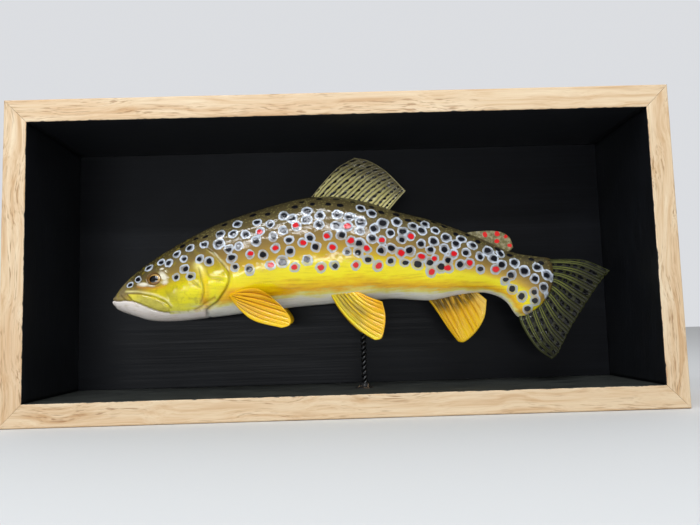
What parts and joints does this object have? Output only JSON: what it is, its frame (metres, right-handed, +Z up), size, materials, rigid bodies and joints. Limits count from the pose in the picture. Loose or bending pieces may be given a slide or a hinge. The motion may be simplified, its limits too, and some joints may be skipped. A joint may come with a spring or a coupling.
{
  "type": "carved trout in a shadow box",
  "caption": "Small carved and painted brown trout on a twisted wire post, in an open-fronted oak shadow box painted black inside, hung flat on a wall.",
  "frame": {"origin": "centre of the back panel's rear face, on the plane of the wall", "axes": "+Z up, -Y out of the wall towards the viewer, +X to the viewer's right, towards the tail"},
  "size_m": [0.19, 0.0455, 0.092],
  "materials": {
    "bare_oak": "sanded pale oak, mitred, unfinished outside and painted black on its inner faces",
    "black_paint": "fibreboard brushed with satin black paint",
    "zinc_steel": "stamped zinc-plated steel",
    "black_wire": "two black-painted steel wires twisted together",
    "painted_skin": "carved wood, hand-painted olive back, gold flank and white belly with ringed spots, gloss varnish",
    "painted_eye": "domed eye, black pupil in a gold ring, glossy",
    "olive_fin": "thin carved wood with burnt-in rays, painted olive with rows of black dashes",
    "amber_fin": "thin carved wood with cut rays, painted amber yellow"
  },
  "bodies": {
    "root": {"frame_top": "bare_oak", "frame_bottom": "bare_oak", "frame_left": "bare_oak", "frame_right": "bare_oak", "back_panel": "black_paint", "sawtooth_hanger": "zinc_steel", "wire_post": "black_wire", "head": "painted_skin", "lower_jaw": "painted_skin", "maxilla_left": "painted_skin", "maxilla_right": "painted_skin", "gill_cover_left": "painted_skin", "gill_cover_right": "painted_skin", "trunk": "painted_skin", "tail_stalk": "painted_skin", "eye_left": "painted_eye", "eye_right": "painted_eye", "dorsal_fin": "olive_fin", "adipose_fin": "olive_fin", "caudal_fin": "olive_fin", "anal_fin": "amber_fin", "pectoral_fin_left": "amber_fin", "pectoral_fin_right": "amber_fin", "pelvic_fin_left": "amber_fin", "pelvic_fin_right": "amber_fin"}
  },
  "joints": []
}
